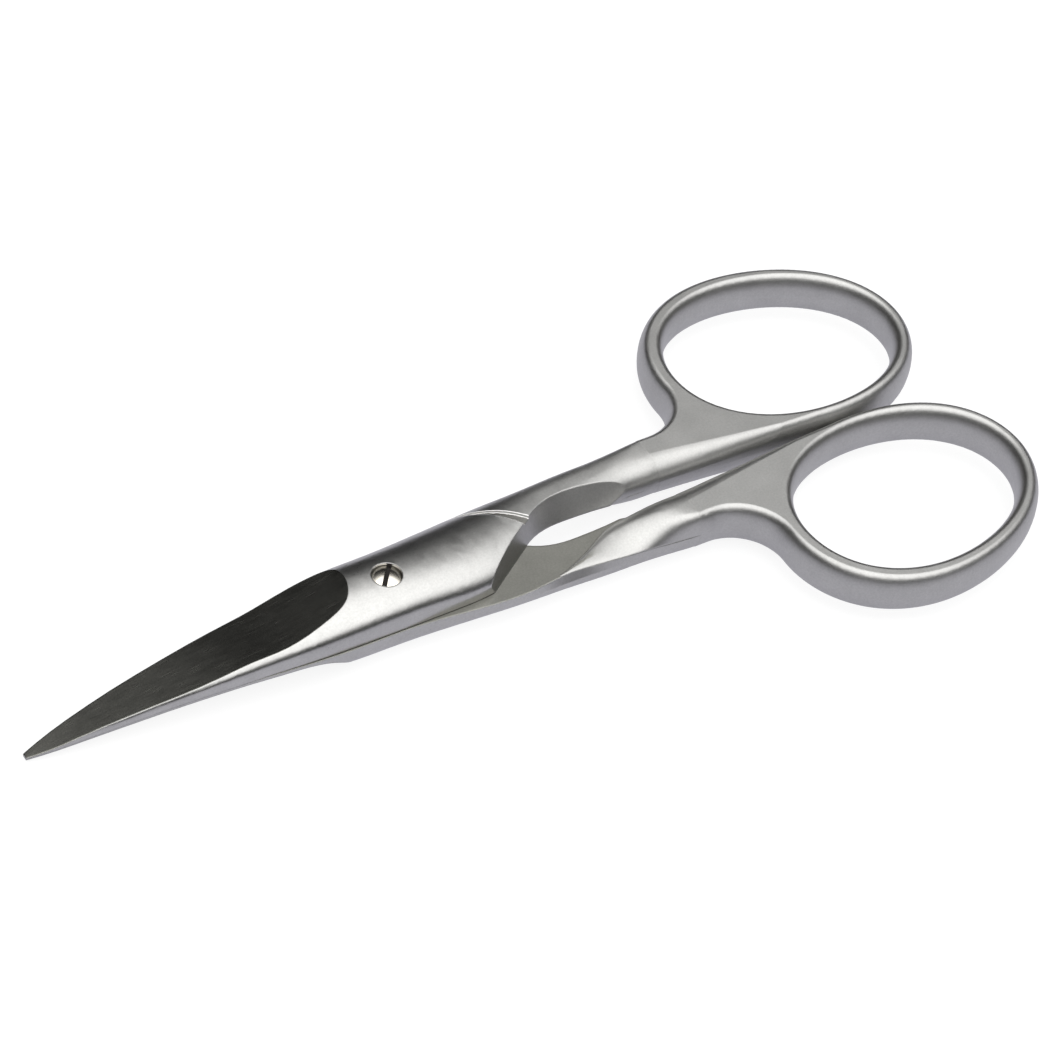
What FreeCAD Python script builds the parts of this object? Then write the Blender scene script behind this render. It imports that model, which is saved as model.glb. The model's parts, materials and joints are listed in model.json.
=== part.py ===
import FreeCAD, Part
import math
import os

# Curved nail scissors: two forged steel halves that turn on one slotted screw.
# The pivot axis is vertical, the blades point to -X and the finger rings to +X.
# A half is described by heights above the parting face, and the lower half is the upper one turned over.

Vector = FreeCAD.Vector

# Driving dimensions, in millimetres
blade_length = 35.2         # pivot to tip
blade_drop = 3.0            # how far the tip bends below the flat of the joint
bend_start = 9.3            # radius from the pivot where the bend begins
joint_half_width = 4.15     # pivot axis to the side of the joint
joint_height = 3.2          # parting face to the crown, beside the screw
shank_width = 4.85
shank_inner = 1.15          # axis of the scissors to the inner side of a shank
ring_reach = 49.72          # pivot to the middle of a finger ring
ring_opening_length = 23.3
ring_opening_width = 17.7
ring_bar_width = 2.3
ring_bar_height = 4.4
ring_turn = 7.2             # degrees that a ring's long axis leans towards the other ring
ring_gap = 0.2              # between the two closed rings
ride_gap = 0.05             # between the two halves at the joint and along the blades

# The screw and its holes
head_radius = 1.36
head_height = 1.35
head_crown = 0.3            # dome of the head above its rim
head_sink = 0.05            # top of the head below the crown of the joint
head_clearance = 0.06
neck_radius = 0.95
bore_clearance = 0.03       # running fit of the upper half on the neck
thread_clearance = 0.01
slot_width = 0.45
slot_depth = 0.5
slot_angle = 51.0           # degrees from the axis of the scissors
screw_end_sink = 0.1        # end of the screw inside the lower half's outer face

# The shallow filed notch across the upper half, where the joint turns into the shank
notch_depth = 0.22

# The palm that joins a shank to its ring
palm_length = 5.77          # palm's first section to the near end of the ring
palm_radius = 4.6           # concave curve from the shank to the ring

# The ring's own form, as shares of half the bar's width: a bulge at its far end with hollows beside it,
# a squarer outline, a slimmer bar at the far end, and a bar made slim where the two rings meet
ring_egg_share = 0.14
ring_square_share = 0.06
ring_taper_share = 0.10
ring_meeting_share = 0.30

# The oval rounding of the bar's rims, as shares of half the bar's width and of half its height
rim_width_share = 0.80
rim_height_share = 0.96

# The wider rounding along the palm's inner side, where the shank's oval runs out. Its width at the start of
# the palm is a share of the shank's width. Columns: share of the way from the palm's start to the middle of
# the ring, and the width there as a share of that first width. The last one is slimmer than the bar's rim.
palm_rim_share = 0.46
palm_rim_shares = [
    (-0.10, 1.02),
    (0.00, 1.00),
    (0.15, 0.88),
    (0.30, 0.74),
    (0.45, 0.60),
    (0.60, 0.48),
    (0.75, 0.36),
]
palm_rim_overlap = 0.02     # how far that rounding starts outside the wall
seam_inset = 0.015          # how far the shank's swept end lies inside the palm's skin

trim_allowance = 0.3        # stock below the parting face before it is ground
overrun = 2.0               # how far every cut runs past the solid
touch_tolerance = 0.001     # how closely the palm's curve meets the ring
outline_points = 1500       # points that stand for the ring's outline while the palm is fitted
box_tolerance = 0.01        # fineness of the mesh that the overall box is measured on
crown_power = 2.3           # roundness of the joint's section: 2 is an ellipse, more is fuller
oval_power = 2.0
crest_share = 0.25          # of the shank's width, from its inner edge to where its inner side stands highest
belly_end_share = 0.35      # of a quarter turn, short of upright, where that side meets the shank's flank
crown_steps = 18            # parts that a crown's outline is divided into
rim_steps = 8               # parts that the palm's wider rounding is divided into

# Blade and joint sections as shares. Columns: place along the blade, cutting side, back, crown, wall height,
# all measured at the joint's own sizes, from the tip to the pivot.
blade_shares = [
    (1.000, 0.070, 0.080, 0.155, 0.070),
    (0.966, 0.148, 0.168, 0.205, 0.088),
    (0.895, 0.272, 0.292, 0.270, 0.106),
    (0.795, 0.404, 0.425, 0.345, 0.131),
    (0.682, 0.536, 0.553, 0.425, 0.156),
    (0.568, 0.657, 0.673, 0.520, 0.188),
    (0.455, 0.774, 0.783, 0.645, 0.219),
    (0.341, 0.880, 0.868, 0.770, 0.250),
    (0.227, 0.968, 0.932, 0.880, 0.281),
    (0.114, 1.000, 0.955, 0.962, 0.297),
    (0.000, 1.000, 0.965, 1.000, 0.312),
]

shank_oval_share = 0.5      # of palm_start, where the joint's section has become a plain oval

# Sections from the pivot to the palm. Columns: place as a share of palm_start, far side at its widest and at
# the parting face as shares of the shank's outer side, near side as a share of the joint's half width (minus)
# or of the shank's inner side (plus), crown, wall, roundness of the far side, and how far the section has
# turned into the palm's rounded bar.
shank_shares = [
    (0.130, 0.742, 0.742, -0.960, 0.962, 0.281, 2.25, 0.00),
    (0.265, 0.822, 0.822, -0.940, 0.890, 0.219, 2.20, 0.00),
    (0.400, 0.870, 0.850, -0.740, 0.822, 0.200, 2.30, 0.00),
    (0.510, 0.855, 0.792, -0.420, 0.775, 0.240, 2.80, 0.00),
    (0.620, 0.862, 0.795, -0.080, 0.737, 0.250, 3.40, 0.00),
    (0.740, 0.890, 0.870, 0.500, 0.712, 0.250, 3.40, 0.05),
    (0.850, 0.930, 0.925, 0.930, 0.700, 0.220, 3.00, 0.35),
    (0.940, 0.980, 0.978, 1.000, 0.690, 0.150, 2.50, 0.80),
    (1.000, 1.000, 1.000, 1.000, 0.690, 0.050, 2.00, 1.00),
    (1.060, 1.000, 1.000, 1.000, 0.690, 0.050, 2.00, 1.00),
]

# The inner side of the shank, below the parting face. Columns: place as a share of palm_start, inner edge
# and outer edge as shares of the shank's outer side, depth as a share of the bar's half height, wall as a
# share of the depth, and how far the section has turned into the palm's rounded bar.
ramp_shares = [
    (0.520, 0.762, 0.790, 0.020, 0.05, 0.00),
    (0.560, 0.700, 0.792, 0.040, 0.05, 0.00),
    (0.603, 0.615, 0.794, 0.065, 0.05, 0.00),
    (0.667, 0.461, 0.822, 0.100, 0.05, 0.00),
    (0.740, 0.277, 0.868, 0.200, 0.05, 0.05),
    (0.820, 0.205, 0.908, 0.490, 0.05, 0.25),
    (0.890, 0.192, 0.945, 0.820, 0.05, 0.55),
    (0.940, 0.192, 0.973, 0.970, 0.05, 0.80),
    (1.000, 0.192, 1.000, 1.000, 0.05, 1.00),
    (1.060, 0.192, 1.000, 1.000, 0.05, 1.00),
]

# The wall that bounds a half beside the other half's shank: the shoulder, then the shank's inner side, which
# leans back and upright again. Columns: along and across on the parting face, along and across higher up,
# as shares of palm_start and of the shank's outer side.
shoulder_shares = [
    (0.247, -0.826, 0.239, -0.762),
    (0.347, -0.500, 0.337, -0.434),
    (0.433, -0.213, 0.420, -0.141),
    (0.500, 0.008, 0.477, 0.042),
    (0.550, 0.125, 0.530, 0.208),
    (0.607, 0.179, 0.587, 0.341),
    (0.673, 0.183, 0.660, 0.410),
    (0.750, 0.170, 0.743, 0.400),
    (0.833, 0.130, 0.833, 0.350),
    (0.917, 0.070, 0.917, 0.290),
    (1.000, 0.000, 1.000, 0.220),
]
shoulder_height_share = 0.625       # of the joint's height, where the last two columns hold

# The ground facet of a blade. Columns: place along the blade, height of the facet over the cutting edge
# as a share of the crown at the pivot, and its slope towards the back.
facet_shares_upper = [
    (1.060, 0.050, 0.120),
    (0.853, 0.075, 0.125),
    (0.682, 0.095, 0.140),
    (0.568, 0.105, 0.155),
    (0.410, 0.115, 0.220),
    (0.300, 0.200, 0.220),
    (0.215, 0.370, 0.220),
    (0.145, 0.540, 0.220),
    (0.085, 0.860, 0.220),
]
facet_shares_lower = [
    (1.060, 0.050, 0.120),
    (0.853, 0.075, 0.125),
    (0.682, 0.095, 0.140),
    (0.568, 0.105, 0.155),
    (0.410, 0.115, 0.220),
    (0.300, 0.130, 0.220),
    (0.235, 0.190, 0.220),
    (0.185, 0.380, 0.220),
    (0.135, 0.720, 0.220),
]

# The notch is a crescent between two arcs that share their far end. Columns: share of palm_start along,
# share of the shank's outer side across. Each arc runs from its near end through its middle.
notch_far_shares = (0.280, 0.815)
notch_arc_shares = [
    ((0.556, -0.046), (0.447, 0.492)),
    ((0.520, -0.144), (0.424, 0.441)),
]

palm_start = ring_reach - ring_opening_length / 2 - ring_bar_width - palm_length
shank_outer = shank_inner + shank_width
bar_half = ring_bar_width / 2
ring_half = ring_bar_height / 2
rim_width = rim_width_share * bar_half
palm_rim = palm_rim_share * shank_width
rim_height = rim_height_share * ring_half
bend_length = blade_length - bend_start
bend_rate = blade_drop / bend_length ** 2

upper, lower = 1, -1


def bend(radius):
    """Height of the parting face at a radius from the pivot: flat first, then bending down."""
    past = max(0, radius - bend_start)
    return -bend_rate * past ** 2


def place(side, x, y, height):
    """A point of a half, from its place and its height above the parting face."""
    level = bend(-x) if x < 0 else 0
    return Vector(x, side * y, level + side * height)


def spline_edge(points):
    """A smooth curve through evenly timed points, so that neighbouring sections match point for point."""
    last = len(points) - 1
    times = [step / last for step in range(last + 1)]
    curve = Part.BSplineCurve()
    curve.interpolate(Points=points, Parameters=times)
    return curve.toShape()


def rimmed_bar(half_width, height, near_rim, far_rim, share):
    """A place on the palm's outline by its share of the way: near rounding, flat top, far rounding."""
    third = 3 * share
    if third < 1:
        angle = third * math.pi / 2
        return near_rim * (1 - math.cos(angle)) - half_width, height * math.sin(angle)
    if third > 2:
        angle = (3 - third) * math.pi / 2
        return half_width - far_rim * (1 - math.cos(angle)), height * math.sin(angle)
    return toward(near_rim - half_width, half_width - far_rim, third - 1), height


def crown_points(side, x, near, far, crown, wall, powers, square):
    """An outline from the near wall's top, over the crown, to the far wall's top: oval, or the palm's."""
    middle = (near + far) / 2
    half = (far - near) / 2
    points = []
    for step in range(crown_steps + 1):
        angle = math.pi * (1 - step / crown_steps)
        power = powers[0] if 2 * step < crown_steps else powers[1]
        y = half * math.copysign(abs(math.cos(angle)) ** (2 / power), math.cos(angle))
        height = (crown - wall) * abs(math.sin(angle)) ** (2 / power)
        if square:
            bar_y, bar_height = rimmed_bar(half, crown - wall, palm_rim, rim_width, step / crown_steps)
            y = toward(y, bar_y, square)
            height = toward(height, bar_height, square)
        points.append(place(side, x, middle + y, wall + height))
    return points


def belly_points(side, x, inner, outer, depth, wall, square):
    """An outline past the parting face: highest near its inner edge, slanting at its outer, or the palm's."""
    half = (outer - inner) / 2
    crest = 2 * half * crest_share
    end = belly_end_share * math.pi / 2
    points = []
    for step in range(crown_steps + 1):
        if 2 * step < crown_steps:
            angle = math.pi * (1 - step / crown_steps)
            y = crest - half + crest * math.cos(angle)
            height = (depth - wall) * math.sin(angle)
        else:
            angle = toward(math.pi / 2, end, 2 * step / crown_steps - 1)
            y = crest - half + (2 * half - crest) * math.cos(angle) / math.cos(end)
            height = (depth - wall) * (math.sin(angle) - math.sin(end)) / (1 - math.sin(end))
        bar_y, bar_height = rimmed_bar(half, depth - wall, palm_rim, rim_width, step / crown_steps)
        y = toward(y, bar_y, square)
        height = toward(height, bar_height, square)
        points.append(place(side, x, inner + half + y, -wall - height))
    return points


def body_section(side, x, near, far, foot, crown, wall, powers, square):
    """Closed section of a half: bottom, near wall, crown, far wall."""
    floor = -trim_allowance
    top = crown_points(side, x, near, far, crown, wall, powers, square)
    near_foot = place(side, x, near, floor)
    far_foot = place(side, x, toward(foot, far, floor / wall), floor)
    edges = [
        Part.makeLine(far_foot, near_foot),
        Part.makeLine(near_foot, top[0]),
        spline_edge(top),
        Part.makeLine(top[-1], far_foot),
    ]
    return Part.Wire(edges)


def ramp_section(side, x, inner, outer, depth, wall, square):
    """Closed section of the shank's inner side, which stands past the parting face."""
    belly = belly_points(side, x, inner, outer, depth, wall, square)
    inner_top = place(side, x, inner, 0)
    outer_top = place(side, x, outer, 0)
    edges = [
        Part.makeLine(inner_top, belly[0]),
        spline_edge(belly),
        Part.makeLine(belly[-1], outer_top),
        Part.makeLine(outer_top, inner_top),
    ]
    return Part.Wire(edges)


def toward(start, end, share):
    return start + share * (end - start)


def outer_body(side):
    """Blade, joint and the outer side of the shank, before the grinding."""
    sections = []
    for along, cutting, back, crown, wall in blade_shares:
        sections.append(body_section(
            side,
            -along * blade_length,
            -back * joint_half_width,
            cutting * joint_half_width,
            cutting * joint_half_width,
            crown * joint_height,
            wall * joint_height,
            (crown_power, crown_power),
            0,
        ))
    for along, far, foot, near, crown, wall, far_power, square in shank_shares:
        near_size = joint_half_width if near < 0 else shank_inner
        near_power = toward(crown_power, oval_power, min(1, along / shank_oval_share))
        inset = square * seam_inset
        sections.append(body_section(
            side,
            along * palm_start,
            near * near_size + inset,
            far * shank_outer - inset,
            foot * shank_outer - inset,
            toward(crown * joint_height, ring_half, square) - inset,
            toward(wall * joint_height, ring_half - rim_height, square),
            (near_power, far_power),
            square,
        ))
    return Part.makeLoft(sections, True, False)


def shank_ramp(side):
    """The inner side of the shank, which rises out of the flat of the joint."""
    sections = []
    for along, inner, outer, depth, wall, square in ramp_shares:
        inset = square * seam_inset
        deep = depth * ring_half - inset
        sections.append(ramp_section(
            side,
            along * palm_start,
            inner * shank_outer + inset,
            outer * shank_outer - inset,
            deep,
            toward(wall * deep, ring_half - rim_height, square),
            square,
        ))
    return Part.makeLoft(sections, True, False)


def parting_cutter(side):
    """Everything past the parting face: turned about the pivot under the blades, flat under the shanks."""
    gap = side * ride_gap / 2
    reach = blade_length + overrun
    steps = 8
    far = -side * (blade_drop + joint_height + overrun)
    outline = [Vector(0, 0, far), Vector(0, 0, gap), Vector(bend_start, 0, gap)]
    arc = []
    for step in range(steps + 1):
        radius = bend_start + (reach - bend_start) * step / steps
        arc.append(Vector(radius, 0, bend(radius) + gap))
    edges = [
        Part.makeLine(outline[0], outline[1]),
        Part.makeLine(outline[1], outline[2]),
        spline_edge(arc),
        Part.makeLine(arc[-1], Vector(reach, 0, far)),
        Part.makeLine(Vector(reach, 0, far), outline[0]),
    ]
    profile = Part.Face(Part.Wire(edges))
    profile.rotate(Vector(0, 0, 0), Vector(0, 0, 1), 90)
    turned = profile.revolve(Vector(0, 0, 0), Vector(0, 0, 1), 180)
    depth = abs(far)
    length = ring_reach
    width = 2 * shank_outer + overrun
    low = gap - depth if side == upper else gap
    flat = Part.makeBox(length, width, depth, Vector(0, -width / 2, low))
    return turned.fuse(flat)


def facet_cutter(side):
    """The stock above the ground facet of the blade."""
    shares = facet_shares_upper if side == upper else facet_shares_lower
    reach = joint_half_width + overrun
    sections = []
    for along, edge_share, slope in shares:
        x = -along * blade_length
        edge = edge_share * joint_height
        edge_y = joint_half_width * cutting_share(along)
        far_height = edge - slope * (reach - edge_y)
        near_height = edge + slope * (reach + edge_y)
        top = joint_height + overrun
        sections.append(Part.makePolygon([
            place(side, x, reach, far_height),
            place(side, x, -reach, near_height),
            place(side, x, -reach, top),
            place(side, x, reach, top),
            place(side, x, reach, far_height),
        ]))
    return Part.makeLoft(sections, True, False)


def cutting_share(along):
    """The cutting side's share at a place along the blade, between the two sections around it."""
    for outer_row, inner_row in zip(blade_shares, blade_shares[1:]):
        if inner_row[0] <= along <= outer_row[0]:
            part_share = (along - inner_row[0]) / (outer_row[0] - inner_row[0])
            return inner_row[1] + part_share * (outer_row[1] - inner_row[1])
    return blade_shares[0][1]


def shoulder_outline(side, height):
    """The region beside a half's shoulder and shank, at a height over the parting face."""
    share = height / (shoulder_height_share * joint_height)
    wall = []
    for low_along, low_across, high_along, high_across in shoulder_shares:
        x = toward(low_along, high_along, share) * palm_start
        y = toward(low_across, high_across, share) * shank_outer
        wall.append(place(side, x, y, height))
    bottom = -joint_half_width - shank_outer
    near_corner = place(side, wall[0].x, bottom, height)
    far_corner = place(side, wall[-1].x, bottom, height)
    return Part.Wire([
        spline_edge(wall),
        Part.makeLine(wall[-1], far_corner),
        Part.makeLine(far_corner, near_corner),
        Part.makeLine(near_corner, wall[0]),
    ])


def shoulder_cutter(side):
    wires = [shoulder_outline(side, -trim_allowance), shoulder_outline(side, joint_height + overrun)]
    return Part.makeLoft(wires, True, True)


def notch_cutter(side, body):
    """The part of a body's skin that lies inside the notch's crescent."""
    base = -trim_allowance

    def at(shares):
        return place(side, shares[0] * palm_start, shares[1] * shank_outer, base)

    far = at(notch_far_shares)
    (first_end, first_middle), (second_end, second_middle) = notch_arc_shares
    crescent = Part.Face(Part.Wire([
        Part.Arc(far, at(first_middle), at(first_end)).toShape(),
        Part.makeLine(at(first_end), at(second_end)),
        Part.Arc(at(second_end), at(second_middle), far).toShape(),
    ]))
    column = crescent.extrude(Vector(0, 0, side * (joint_height + overrun)))
    core = body.copy()
    core.translate(Vector(0, 0, -side * notch_depth))
    return column.cut(core)


def ring_places(share, points=72):
    """Places round a ring that stands at y = 0: its opening's edge for a share of -1, its outside for 1."""
    half_length = ring_opening_length / 2 + bar_half
    half_width = ring_opening_width / 2 + bar_half
    lean = math.radians(-ring_turn)
    places = []
    for step in range(points):
        angle = 2 * math.pi * step / points
        along, across = half_length * math.cos(angle), half_width * math.sin(angle)
        out_along, out_across = half_width * math.cos(angle), half_length * math.sin(angle)
        out = share * (1 - ring_taper_share * math.cos(angle))
        out += ring_egg_share * math.cos(3 * angle) - ring_square_share * math.cos(4 * angle)
        if share > 0:
            out -= ring_meeting_share * max(0, -math.sin(angle)) ** 4
        out *= bar_half / math.hypot(out_along, out_across)
        along += out * out_along
        across += out * out_across
        x = along * math.cos(lean) - across * math.sin(lean)
        y = along * math.sin(lean) + across * math.cos(lean)
        places.append(Vector(ring_reach + x, y, 0))
    return places


def ring_curve(side, share):
    """The ring's opening or its outside, with the ring in its place beside the axis of the scissors."""
    lowest = min(place_on_ring.y for place_on_ring in ring_places(1))
    lift = ring_gap / 2 - lowest
    places = [Vector(point.x, side * (point.y + lift), 0) for point in ring_places(share)]
    curve = Part.BSplineCurve()
    curve.interpolate(Points=places, PeriodicFlag=True)
    return Part.Wire(curve.toShape())


def prism(wire, half_height):
    """The inside of a wire, as thick as twice half_height."""
    solid = Part.Face(wire).extrude(Vector(0, 0, 2 * half_height))
    solid.translate(Vector(0, 0, -half_height))
    return solid


def level_edges(solid, half_height):
    """Edges that lie in the top or bottom face."""
    found = []
    for edge in solid.Edges:
        box = edge.BoundBox
        if box.ZLength < half_height and abs(abs(box.Center.z) - half_height) < half_height / 2:
            found.append(edge)
    return found


def touch_from(centre_y, outline):
    """Middle of the palm's concave curve, so far beside the shank that the curve just meets the ring."""
    low, high = palm_start - palm_radius, ring_reach
    while high - low > touch_tolerance:
        x = (low + high) / 2
        centre = Vector(x, centre_y, 0)
        if nearest(outline, centre).distanceToPoint(centre) > palm_radius:
            low = x
        else:
            high = x
    return Vector(low, centre_y, 0)


def nearest(outline, point):
    return min(outline, key=lambda place_on_ring: place_on_ring.distanceToPoint(point))


def turned(side, point):
    return Vector(point.x, side * point.y, 0)


def palm_outline(side):
    """The web between the shank and the ring: straight on its inner side, a concave curve on its outer."""
    outline = ring_curve(upper, 1).discretize(outline_points)
    lowest = min(outline, key=lambda place_on_ring: place_on_ring.y)
    centre = touch_from(shank_outer + palm_radius, outline)
    touch = nearest(outline, centre)
    angle = math.atan2(touch.y - centre.y, touch.x - centre.x)
    middle_angle = (angle - math.pi / 2) / 2
    middle = centre + Vector(math.cos(middle_angle), math.sin(middle_angle), 0) * palm_radius
    arc_start = Vector(centre.x, shank_outer, 0)
    inside = Vector(ring_reach, touch.y, 0)
    start_outer = Vector(palm_start, shank_outer, 0)
    start_inner = Vector(palm_start, shank_inner, 0)
    arc = Part.Arc(turned(side, arc_start), turned(side, middle), turned(side, touch))
    return Part.Wire([
        Part.makeLine(turned(side, start_outer), turned(side, arc_start)),
        arc.toShape(),
        Part.makeLine(turned(side, touch), turned(side, inside)),
        Part.makeLine(turned(side, inside), turned(side, lowest)),
        Part.makeLine(turned(side, lowest), turned(side, start_inner)),
        Part.makeLine(turned(side, start_inner), turned(side, start_outer)),
    ])


def palm_rim_cutter(side, face):
    """What the wider rounding takes off the palm's inner side, on its upper or its lower face."""
    lowest = min(ring_curve(upper, 1).discretize(outline_points), key=lambda place_on_ring: place_on_ring.y)
    slope = (lowest.y - shank_inner) / (lowest.x - palm_start)
    reach = ring_reach - palm_start
    low = ring_half - rim_height - palm_rim_overlap
    sections = []
    for along, width_share in palm_rim_shares:
        x = palm_start + along * reach
        edge = shank_inner + slope * (x - palm_start)
        width = width_share * palm_rim
        arc = []
        for step in range(rim_steps + 1):
            angle = math.pi / 2 * step / rim_steps
            y = edge + width - (width + palm_rim_overlap) * math.cos(angle)
            arc.append(Vector(x, side * y, face * (low + (ring_half - low) * math.sin(angle))))
        top = face * (ring_half + overrun)
        outside = side * (edge - overrun)
        corners = [
            arc[-1], Vector(x, arc[-1].y, top), Vector(x, outside, top), Vector(x, outside, arc[0].z), arc[0],
        ]
        sides = [Part.makeLine(first, last) for first, last in zip(corners, corners[1:])]
        sections.append(Part.Wire([spline_edge(arc)] + sides))
    return Part.makeLoft(sections, True, False)


def handle(side):
    """Palm and finger ring: one thin outline with rounded rims, drawn out to its full height."""
    stretch = rim_height / rim_width
    thin = ring_half / stretch
    ring = prism(ring_curve(side, 1), thin)
    opening = prism(ring_curve(side, -1), thin + overrun)
    solid = prism(palm_outline(side), thin).fuse(ring).removeSplitter().cut(opening)
    rim = []
    for edge in level_edges(solid, thin):
        if not edge.isClosed() and edge.BoundBox.XLength > touch_tolerance:
            rim.append(edge)
    solid = solid.makeFillet(rim_width, rim)
    hole = [edge for edge in level_edges(solid, thin) if edge.isClosed()]
    solid = solid.makeFillet(rim_width, hole)
    drawn = FreeCAD.Matrix()
    drawn.scale(1, 1, stretch)
    solid = solid.transformGeometry(drawn)
    return solid.cut([palm_rim_cutter(side, upper), palm_rim_cutter(side, lower)])


def cylinder(radius, low, high):
    return Part.makeCylinder(radius, high - low, Vector(0, 0, low))


def upper_half():
    half = forged_half(upper)
    seat = screw_seat()
    counterbore = cylinder(head_radius + head_clearance, seat - head_clearance / 2, joint_height + overrun)
    bore = cylinder(neck_radius + bore_clearance, -overrun, seat)
    return half.cut(counterbore).cut(bore)


def lower_half():
    half = forged_half(lower)
    bore = cylinder(neck_radius + thread_clearance, -joint_height - overrun, overrun)
    return half.cut(bore)


def forged_half(side):
    body = outer_body(side)
    if side == upper:
        body = body.cut(notch_cutter(side, body))
    body = body.cut(facet_cutter(side))
    body = body.cut(parting_cutter(side))
    body = body.cut(shoulder_cutter(side))
    return body.fuse([shank_ramp(side), handle(side)])


def screw_seat():
    """Height of the counterbore's floor."""
    return joint_height - head_sink - head_height - head_crown


def pivot_screw():
    seat = screw_seat()
    rim = seat + head_height
    # A sphere cap over a round head
    dome_radius = (head_radius ** 2 + head_crown ** 2) / (2 * head_crown)
    head = cylinder(head_radius, seat, rim + head_crown)
    dome = Part.makeSphere(dome_radius, Vector(0, 0, rim + head_crown - dome_radius))
    head = head.common(dome)
    slot_reach = head_radius + overrun
    slot_corner = Vector(-slot_reach, -slot_width / 2, rim + head_crown - slot_depth)
    slot = Part.makeBox(2 * slot_reach, slot_width, overrun, slot_corner)
    slot.rotate(Vector(0, 0, 0), Vector(0, 0, 1), slot_angle)
    neck = cylinder(neck_radius, -joint_height + screw_end_sink, seat)
    return head.fuse(neck).cut(slot).removeSplitter()


def tight_box(shapes):
    """The overall box, measured on a fine mesh of each shape."""
    box = FreeCAD.BoundBox()
    for shape in shapes:
        for point in shape.tessellate(box_tolerance)[0]:
            box.add(point)
    return box


def main():
    os.makedirs("parts", exist_ok=True)
    nodes = {
        "upper_half": upper_half(),
        "lower_half": lower_half(),
        "pivot_screw": pivot_screw(),
    }
    box = tight_box(nodes.values())
    # The origin is the middle of the underside of the closed scissors
    move = Vector(-box.Center.x, -box.Center.y, -box.ZMin)
    print("pivot", move)
    print("size", box.XLength, box.YLength, box.ZLength)
    for name, shape in nodes.items():
        shape.translate(move)
        print(name, "solids", len(shape.Solids), "valid", shape.isValid(), "volume", shape.Volume)
        shape.exportStep("parts/" + name + ".step")


main()
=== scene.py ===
import json
import math

import bpy
from mathutils import Matrix, Vector

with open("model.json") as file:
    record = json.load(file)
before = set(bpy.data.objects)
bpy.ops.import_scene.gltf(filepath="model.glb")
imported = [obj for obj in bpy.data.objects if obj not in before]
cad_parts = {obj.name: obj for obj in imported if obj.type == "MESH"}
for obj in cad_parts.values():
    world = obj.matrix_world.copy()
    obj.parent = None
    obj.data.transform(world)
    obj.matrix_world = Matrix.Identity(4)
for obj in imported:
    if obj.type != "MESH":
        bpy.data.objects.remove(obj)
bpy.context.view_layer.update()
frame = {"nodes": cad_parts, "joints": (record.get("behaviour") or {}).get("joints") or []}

# The photograph's frame and the camera that was fitted to it: angles in degrees, places in metres
IMAGE_SIZE = 1063           # pixels, both ways
FOCAL_PIXELS = 3380.0
SENSOR = 36.0               # mm
VIEW_TURN = -36.5
VIEW_RISE = 45.6
VIEW_ROLL = 7.4
VIEW_DISTANCE = 0.309
VIEW_AIM = Vector((0.01617, 0.00133, 0.0))      # from the pivot
VIEW_NEAREST = 0.01
VIEW_FARTHEST = 20.0

# Studio light. Columns: height over the horizon, level of the light
LIGHT_STRENGTH = 2.3
LIGHT_TILT = 0.15           # how much lower the bright ceiling hangs in front
LIGHT_LEVELS = [
    (0.00, 0.004),
    (0.44, 0.008),
    (0.55, 0.055),
    (0.63, 0.145),
    (0.70, 0.480),
    (0.77, 0.900),
    (0.84, 1.000),
]

# The floor, in metres, and its colours as linear values
FLOOR_REACH = 4.0
FLOOR_DROP = 0.0002         # below the underside of the scissors
FLOOR_GLOW = 0.86
FLOOR_SEEN = (0.20, 0.20, 0.20)         # what it adds to its glow where it is lit, so that shadows show
FLOOR_IN_METAL = (0.63, 0.625, 0.71)    # its reflection is a pale lilac grey, as in the photograph
FLOOR_PLAIN = (0.90, 0.90, 0.92)        # what it throws back as soft light
WHITE = (1.0, 1.0, 1.0)

# Colours of the metals, as linear values
STEEL = (0.455, 0.452, 0.440)
GROUND = (0.26, 0.258, 0.235)
FILED = (0.24, 0.235, 0.22)
# Painted highlight: a near-white colour laid in a ragged line along the edges of the filed notch
PAINTED_NOTCH_HIGHLIGHT = (0.90, 0.89, 0.87)
NICKEL = (0.80, 0.765, 0.69)
NICKEL_DULL = (0.70, 0.655, 0.57)
# Painted shade: a near-black colour for the screw's slot and the gap round its neck
PAINTED_SHADE = (0.010, 0.008, 0.006)

# Places on the scissors that the masks follow, in millimetres from the pivot. A pair holds where a mask is
# 0 and where it is 1.
MM = 1000.0                 # millimetres in a metre
FACET_END = (-1.5, -1.7)    # along the blade: no facet nearer to the pivot
FACET_PAST = (-8.3, -8.7)   # along the blade: further out the facet is told by its side, nearer by its slope
FLAT_HEIGHT = (0.25, 0.15)  # the riding face beside the joint lies this near to the parting height
BLADE_SIDE = (3.0, 2.0)     # the blade's side of the joint
RING_FINISH = (9.0, 19.0)   # along the shank: the joint's finish turns into the rings' coarser one
NOTCH_FAR = (8.40, 4.89)    # where the two arcs of the crescent meet
NOTCH_ARCS = (((13.41, 2.95), (16.68, -0.28)), ((12.72, 2.65), (15.60, -0.86)))
NOTCH_START = (8.1, 8.4)
NOTCH_HEIGHT = (0.9, 1.2)
NOTCH_INSIDE = (0.01, -0.01)        # from either arc, as a product of the two distances
# The bright line along each arc is a painted highlight
NOTCH_EDGE = (0.16, 0.11)           # half the width of the bright line along each arc
NOTCH_RAGGED = (-0.14, 0.14)        # how far that line strays
SLOT_HEIGHT = (2.86, 2.72)
SLOT_SIDE = (0.24, 0.225)
SLOT_ANGLE = 51.0                   # degrees from the axis of the scissors
NECK_HEIGHT = (2.50, 2.30)

# Directions that the masks follow, as parts of a unit arrow
FACET_SLOPE = (-0.06, -0.10)
FACET_SIDE = (0.02, 0.05)
FACET_OUTWARD = (0.80, 0.85)
FLAT_INWARD = (0.995, 0.999)
BLADE_INWARD = (0.90, 0.96)
NOTCH_UP = (0.35, 0.55)

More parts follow.
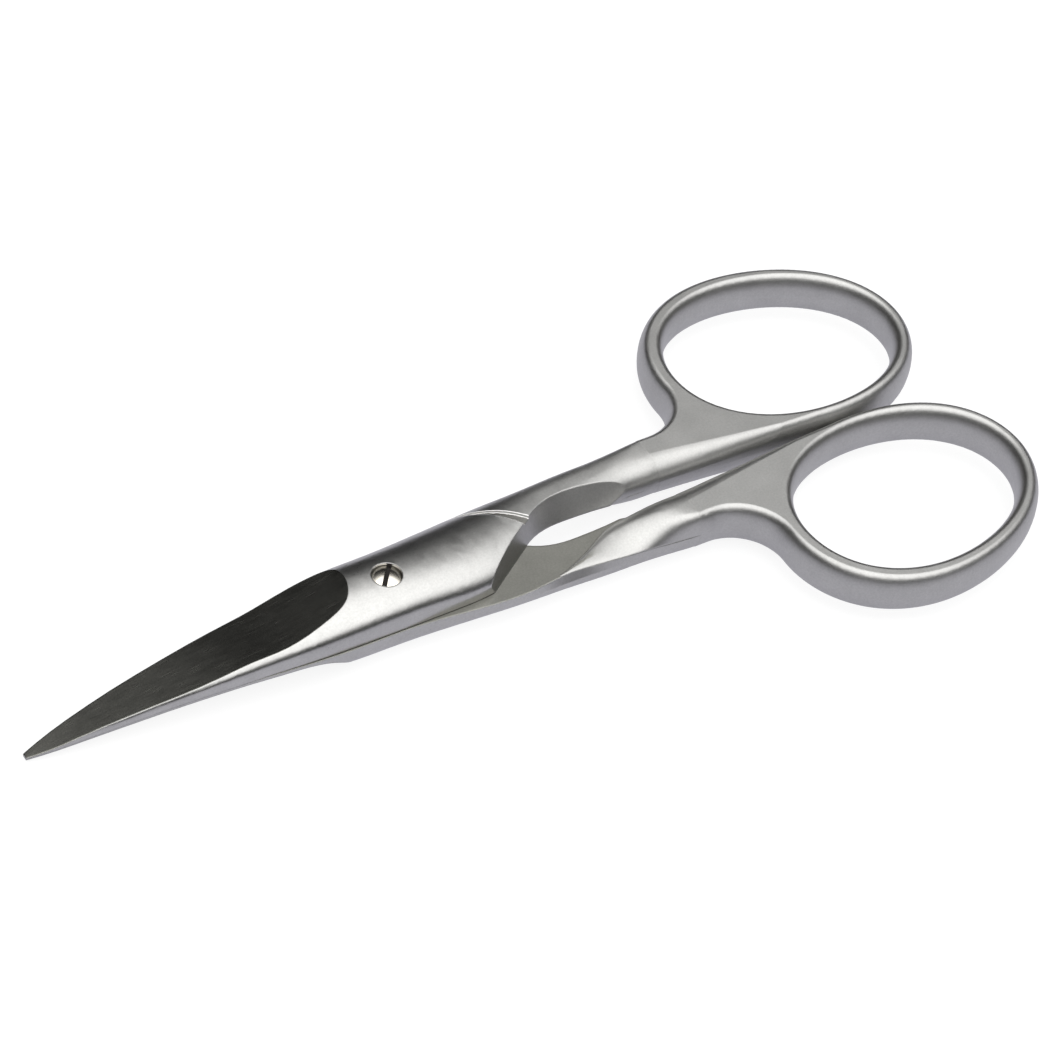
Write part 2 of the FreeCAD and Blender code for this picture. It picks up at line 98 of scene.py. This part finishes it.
# Noises on the metals: scale to a millimetre, detail, roughness; and the stretch of those with a direction
GRAIN = (5.0, 4.0, 0.7)
SPECK = (22.0, 2.0, 0.6)
CLOUD = (0.35, 3.0, 0.55)
RAGGED = (2.2, 3.0, 0.7)
LINES = (1.0, 4.0, 0.7)
LINES_STRETCH = (1.4, 14.0, 1.4)
SCRATCH = (1.0, 1.0, 0.4)
SCRATCH_STRETCH = (0.5, 5.0, 0.5)
FILE_MARKS = (1.0, 4.0, 0.75)
FILE_MARKS_STRETCH = (6.0, 6.0, 2.0)
SCREW_CLOUD = (3.0, 3.0, 0.6)
SCREW_SPECK = (20.0, 2.0, 0.6)
LATHE_RINGS = 95.0                  # radians of the wave of the turned rings to a millimetre

# How far these noises move the tone of the colour
CLOUD_TONE = (0.88, 1.12)
GRAIN_TONE = (0.76, 1.24)
LINES_TONE = (0.60, 1.40)

# Roughness, from least to most
JOINT_ROUGH = (0.27, 0.33)
RING_ROUGH = (0.37, 0.43)
GRAIN_ROUGH = (-0.05, 0.05)         # what the grain adds
GROUND_ROUGH = (0.20, 0.30)
FILED_ROUGH = 0.40
NICKEL_ROUGH = (0.12, 0.22)
# Roughness of the painted shade in the screw's slot and round its neck
PAINTED_SHADE_ROUGH = 0.8

# Relief
RELIEF_HEIGHT = 0.00002             # metres
EDGE_RADIUS = 0.00018               # metres; the blasting has rounded every edge a little
EDGE_SAMPLES = 6
BLASTED_RELIEF = 0.10
GROUND_RELIEF = 0.12
FILED_RELIEF = 0.30
FILE_MARKS_HEIGHT = 6.0             # beside the height of the grain
SCREW_RELIEF = 0.12
LATHE_HEIGHT = 0.5                  # beside the height of the screw's specks

pivot_joint = next(joint for joint in frame["joints"] if joint["name"] == "blade_pivot")
PIVOT = Vector(pivot_joint["pos_m"])


def set_camera():
    turn = math.radians(VIEW_TURN)
    rise = math.radians(VIEW_RISE)
    roll = math.radians(VIEW_ROLL)
    right = Vector((math.cos(turn), math.sin(turn), 0.0))
    ahead = Vector((-math.sin(turn) * math.cos(rise), math.cos(turn) * math.cos(rise), -math.sin(rise)))
    up = right.cross(ahead)
    side_axis = right * math.cos(roll) + up * math.sin(roll)
    up_axis = up * math.cos(roll) - right * math.sin(roll)
    place = PIVOT + VIEW_AIM - ahead * VIEW_DISTANCE
    data = bpy.data.cameras.new("camera")
    data.sensor_fit = "HORIZONTAL"
    data.sensor_width = SENSOR
    data.lens = SENSOR * FOCAL_PIXELS / IMAGE_SIZE
    data.clip_start = VIEW_NEAREST
    data.clip_end = VIEW_FARTHEST
    camera = bpy.data.objects.new("camera", data)
    bpy.context.scene.collection.objects.link(camera)
    camera.matrix_world = Matrix((
        (side_axis.x, up_axis.x, -ahead.x, place.x),
        (side_axis.y, up_axis.y, -ahead.y, place.y),
        (side_axis.z, up_axis.z, -ahead.z, place.z),
        (0.0, 0.0, 0.0, 1.0),
    ))
    bpy.context.scene.camera = camera


class Graph:
    """A node tree with short ways to add its nodes."""

    def __init__(self, tree):
        self.tree = tree
        tree.nodes.clear()

    def add(self, kind, inputs=None, **settings):
        node = self.tree.nodes.new(kind)
        for name, value in settings.items():
            setattr(node, name, value)
        for name, value in (inputs or {}).items():
            self.feed(node.inputs[name], value)
        return node

    def feed(self, socket, value):
        if isinstance(value, bpy.types.NodeSocket):
            self.tree.links.new(value, socket)
        else:
            socket.default_value = value

    def math(self, operation, first, second=0.0):
        node = self.add("ShaderNodeMath", {0: first, 1: second}, operation=operation)
        return node.outputs[0]

    def vector(self, operation, first, second):
        """A vector worked out from two vectors."""
        node = self.add("ShaderNodeVectorMath", {0: first, 1: second}, operation=operation)
        return node.outputs["Vector"]

    def measure(self, operation, first, second=(0.0, 0.0, 0.0)):
        """A number worked out from two vectors."""
        node = self.add("ShaderNodeVectorMath", {0: first, 1: second}, operation=operation)
        return node.outputs["Value"]

    def scaled(self, vector, factor):
        node = self.add("ShaderNodeVectorMath", {0: vector, "Scale": factor}, operation="SCALE")
        return node.outputs["Vector"]

    def stretched(self, vector, scale):
        node = self.add("ShaderNodeMapping", {"Vector": vector, "Scale": scale})
        return node.outputs["Vector"]

    def step(self, value, off, on):
        """0 on the far side of off, 1 on the far side of on, smooth between. Either can be the higher one."""
        node = self.add("ShaderNodeMapRange", {
            "Value": value, "From Min": off, "From Max": on, "To Min": 0.0, "To Max": 1.0,
        }, interpolation_type="SMOOTHSTEP")
        return node.outputs["Result"]

    def noise(self, vector, scale, detail, roughness):
        node = self.add("ShaderNodeTexNoise", {
            "Vector": vector, "Scale": scale, "Detail": detail, "Roughness": roughness,
        })
        return node.outputs["Fac"]

    def blend(self, share, first, second):
        """A number between two numbers."""
        node = self.add("ShaderNodeMix", {0: share, 2: first, 3: second}, data_type="FLOAT")
        return node.outputs[0]

    def tint(self, share, first, second):
        """A colour between two colours."""
        node = self.add("ShaderNodeMix", {0: share, 6: opaque(first), 7: opaque(second)}, data_type="RGBA")
        return node.outputs[2]

    def place(self):
        """Place on the part in millimetres from the pivot, and its x, y and z."""
        coordinates = self.add("ShaderNodeTexCoord")
        moved = self.vector("SUBTRACT", coordinates.outputs["Object"], PIVOT)
        grown = self.scaled(moved, MM)
        split = self.add("ShaderNodeSeparateXYZ", {0: grown})
        return grown, split.outputs

    def facing(self):
        """The surface's own direction on the part: x, y and z."""
        coordinates = self.add("ShaderNodeTexCoord")
        split = self.add("ShaderNodeSeparateXYZ", {0: coordinates.outputs["Normal"]})
        return split.outputs

    def metal(self, colour, rough, relief, metallic=1.0):
        """The metal's shader, as the tree's result."""
        body = self.add("ShaderNodeBsdfPrincipled", {
            "Base Color": colour, "Metallic": metallic, "Roughness": rough, "Normal": relief.outputs[0],
        })
        self.add("ShaderNodeOutputMaterial", {"Surface": body.outputs[0]})


def opaque(colour):
    """A colour's socket as it is, or its three values with full opacity."""
    return colour if isinstance(colour, bpy.types.NodeSocket) else (*colour, 1.0)


def new_material(name):
    material = bpy.data.materials.new(name)
    material.use_nodes = True
    return material, Graph(material.node_tree)


def set_world():
    """Soft studio light by height over the horizon, a little lower in front: dark walls, bright ceiling."""
    world = bpy.data.worlds.new("studio")
    bpy.context.scene.world = world
    world.use_nodes = True
    graph = Graph(world.node_tree)
    coordinates = graph.add("ShaderNodeTexCoord")
    split = graph.add("ShaderNodeSeparateXYZ", {0: coordinates.outputs["Generated"]})
    lowered = graph.math("MULTIPLY", split.outputs["Y"], LIGHT_TILT)
    height = graph.math("SUBTRACT", split.outputs["Z"], lowered)
    ramp = graph.add("ShaderNodeValToRGB", {"Fac": height})
    stops = ramp.color_ramp.elements
    while len(stops) < len(LIGHT_LEVELS):
        stops.new(0.5)
    for stop, (position, level) in zip(stops, LIGHT_LEVELS):
        stop.position = position
        stop.color = (level, level, level, 1.0)
    ramp.color_ramp.interpolation = "B_SPLINE"
    back = graph.add("ShaderNodeBackground", {"Color": ramp.outputs["Color"], "Strength": LIGHT_STRENGTH})
    graph.add("ShaderNodeOutputWorld", {"Surface": back.outputs[0]})


def floor_material():
    """A plain pale floor that glows a little, so that it reads white with a soft shadow on it."""
    material, graph = new_material("floor")
    seen = graph.add("ShaderNodeLightPath")
    bounced = graph.math("MAXIMUM", seen.outputs["Is Glossy Ray"], seen.outputs["Is Transmission Ray"])
    shown = graph.math("MAXIMUM", seen.outputs["Is Camera Ray"], bounced)
    body = graph.add("ShaderNodeBsdfDiffuse", {"Color": opaque(FLOOR_SEEN)})
    glow = graph.add("ShaderNodeEmission", {
        "Color": graph.tint(bounced, WHITE, FLOOR_IN_METAL), "Strength": FLOOR_GLOW,
    })
    both = graph.add("ShaderNodeAddShader", {0: body.outputs[0], 1: glow.outputs[0]})
    plain = graph.add("ShaderNodeBsdfDiffuse", {"Color": opaque(FLOOR_PLAIN)})
    mix = graph.add("ShaderNodeMixShader", {0: shown, 1: plain.outputs[0], 2: both.outputs[0]})
    graph.add("ShaderNodeOutputMaterial", {"Surface": mix.outputs[0]})
    return material


def set_floor():
    mesh = bpy.data.meshes.new("floor")
    corners = [
        (-FLOOR_REACH, -FLOOR_REACH, 0),
        (FLOOR_REACH, -FLOOR_REACH, 0),
        (FLOOR_REACH, FLOOR_REACH, 0),
        (-FLOOR_REACH, FLOOR_REACH, 0),
    ]
    mesh.from_pydata(corners, [], [(0, 1, 2, 3)])
    mesh.materials.append(floor_material())
    floor = bpy.data.objects.new("floor", mesh)
    bpy.context.scene.collection.objects.link(floor)
    floor.location.z = -FLOOR_DROP


def circle_through(first, middle, last):
    """Middle and radius of the circle through three places."""
    ax, ay = first
    bx, by = middle
    cx, cy = last
    turn = 2 * (ax * (by - cy) + bx * (cy - ay) + cx * (ay - by))
    a, b, c = ax * ax + ay * ay, bx * bx + by * by, cx * cx + cy * cy
    x = (a * (by - cy) + b * (cy - ay) + c * (ay - by)) / turn
    y = (a * (cx - bx) + b * (ax - cx) + c * (bx - ax)) / turn
    return x, y, math.hypot(ax - x, ay - y)


def notch_masks(graph, place, x, z, nz):
    """Inside the crescent between the two arcs of the filed notch, and close to one of its two edges."""
    flat = graph.vector("MULTIPLY", place, (1.0, 1.0, 0.0))
    apart = []
    for middle, last in NOTCH_ARCS:
        centre_x, centre_y, radius = circle_through(NOTCH_FAR, middle, last)
        reach = graph.measure("DISTANCE", flat, (centre_x, centre_y, 0.0))
        apart.append(graph.math("SUBTRACT", reach, radius))
    between = graph.step(graph.math("MULTIPLY", apart[0], apart[1]), *NOTCH_INSIDE)
    to_edge = graph.math("MINIMUM", graph.math("ABSOLUTE", apart[0]), graph.math("ABSOLUTE", apart[1]))
    strayed = graph.math("ADD", to_edge, graph.blend(graph.noise(place, *RAGGED), *NOTCH_RAGGED))
    edge = graph.step(strayed, *NOTCH_EDGE)
    here = graph.math("MULTIPLY", graph.step(z, *NOTCH_HEIGHT), graph.step(nz, *NOTCH_UP))
    here = graph.math("MULTIPLY", here, graph.step(x, *NOTCH_START))
    return graph.math("MULTIPLY", between, here), graph.math("MULTIPLY", edge, here)


def facet_mask(graph, x, nx, side_facing, out_facing):
    """The ground facet, told by its slope along the blade beside the pivot and by its side further out."""
    slope = graph.step(nx, *FACET_SLOPE)
    sideways = graph.step(side_facing, *FACET_SIDE)
    facet = graph.blend(graph.step(x, *FACET_PAST), slope, sideways)
    facet = graph.math("MULTIPLY", facet, graph.step(x, *FACET_END))
    return graph.math("MULTIPLY", facet, graph.step(out_facing, *FACET_OUTWARD))


def riding_mask(graph, x, z, in_facing):
    """The ground face that rides on the other half: flat beside the joint, and all along the blade."""
    level = graph.step(graph.math("ABSOLUTE", z), *FLAT_HEIGHT)
    at_joint = graph.math("MULTIPLY", graph.step(in_facing, *FLAT_INWARD), level)
    at_blade = graph.math("MULTIPLY", graph.step(in_facing, *BLADE_INWARD), graph.step(x, *BLADE_SIDE))
    return graph.math("MAXIMUM", at_joint, at_blade)


def steel(name, side, notched):
    """Blasted satin steel. The facet of the blade and the face that rides on the other half are ground."""
    material, graph = new_material(name)
    place, (x, _, z) = graph.place()
    nx, ny, nz = graph.facing()
    facet = facet_mask(graph, x, nx, graph.math("MULTIPLY", ny, side), graph.math("MULTIPLY", nz, side))
    riding = riding_mask(graph, x, z, graph.math("MULTIPLY", nz, -side))

    # Grain of the blasting, soft clouds left by handling, and fine grinding lines on the facet
    grain = graph.noise(place, *GRAIN)
    speck = graph.noise(place, *SPECK)
    cloud = graph.noise(place, *CLOUD)
    lines = graph.noise(graph.stretched(place, LINES_STRETCH), *LINES)
    scratch = graph.noise(graph.stretched(place, SCRATCH_STRETCH), *SCRATCH)

    tone = graph.math("MULTIPLY", graph.blend(cloud, *CLOUD_TONE), graph.blend(grain, *GRAIN_TONE))
    tone = graph.math("MULTIPLY", tone, graph.blend(facet, 1.0, graph.blend(lines, *LINES_TONE)))
    colour = graph.scaled(graph.tint(graph.math("MAXIMUM", facet, riding), STEEL, GROUND), tone)

    finish = graph.step(x, *RING_FINISH)
    rough = graph.blend(finish, graph.blend(cloud, *JOINT_ROUGH), graph.blend(cloud, *RING_ROUGH))
    rough = graph.math("ADD", rough, graph.blend(grain, *GRAIN_ROUGH))
    rough = graph.blend(facet, rough, graph.blend(scratch, *GROUND_ROUGH))

    height = graph.blend(facet, graph.math("ADD", grain, speck), graph.math("ADD", lines, speck))
    strength = graph.blend(facet, BLASTED_RELIEF, GROUND_RELIEF)

    if notched:
        notch, edge = notch_masks(graph, place, x, z, nz)
        marks = graph.noise(graph.stretched(place, FILE_MARKS_STRETCH), *FILE_MARKS)
        rough = graph.blend(notch, rough, FILED_ROUGH)
        # Painted highlight along the notch's edges, over the darker filed colour inside it
        colour = graph.tint(edge, graph.tint(notch, colour, FILED), PAINTED_NOTCH_HIGHLIGHT)
        cut = graph.math("MULTIPLY", notch, graph.math("MULTIPLY", marks, FILE_MARKS_HEIGHT))
        height = graph.math("ADD", height, cut)
        strength = graph.blend(notch, strength, FILED_RELIEF)

    softened = graph.add("ShaderNodeBevel", {"Radius": EDGE_RADIUS}, samples=EDGE_SAMPLES)
    relief = graph.add("ShaderNodeBump", {
        "Height": height, "Strength": strength, "Distance": RELIEF_HEIGHT, "Normal": softened.outputs[0],
    })
    graph.metal(colour, rough, relief)
    return material


def nickel():
    """Turned nickel screw: fine rings from the lathe, and painted shade in the slot and round the neck."""
    material, graph = new_material("screw_nickel_turned")
    place, (_, _, z) = graph.place()
    flat = graph.vector("MULTIPLY", place, (1.0, 1.0, 0.0))
    rings = graph.math("SINE", graph.math("MULTIPLY", graph.measure("LENGTH", flat), LATHE_RINGS))
    cloud = graph.noise(place, *SCREW_CLOUD)
    speck = graph.noise(place, *SCREW_SPECK)

    turn = math.radians(SLOT_ANGLE)
    across = graph.measure("DOT_PRODUCT", flat, (-math.sin(turn), math.cos(turn), 0.0))
    in_slot = graph.step(graph.math("ABSOLUTE", across), *SLOT_SIDE)
    in_slot = graph.math("MULTIPLY", graph.step(z, *SLOT_HEIGHT), in_slot)
    # Painted shade: the slot and everything below the neck height turn near black and not metallic
    painted_shade = graph.math("MAXIMUM", in_slot, graph.step(z, *NECK_HEIGHT))

    colour = graph.tint(painted_shade, graph.tint(cloud, NICKEL, NICKEL_DULL), PAINTED_SHADE)
    rough = graph.blend(painted_shade, graph.blend(cloud, *NICKEL_ROUGH), PAINTED_SHADE_ROUGH)
    height = graph.math("ADD", graph.math("MULTIPLY", rings, LATHE_HEIGHT), speck)
    relief = graph.add("ShaderNodeBump", {
        "Height": height, "Strength": SCREW_RELIEF, "Distance": RELIEF_HEIGHT,
    })
    graph.metal(colour, rough, relief, graph.math("SUBTRACT", 1.0, painted_shade))
    return material


def dress(node_name, material):
    for slot in frame["nodes"][node_name].material_slots:
        slot.material = material


set_camera()
set_world()
set_floor()
dress("upper_half", steel("satin_steel_upper", 1, True))
dress("lower_half", steel("satin_steel_lower", -1, False))
dress("pivot_screw", nickel())

bpy.context.scene.view_settings.view_transform = "Standard"
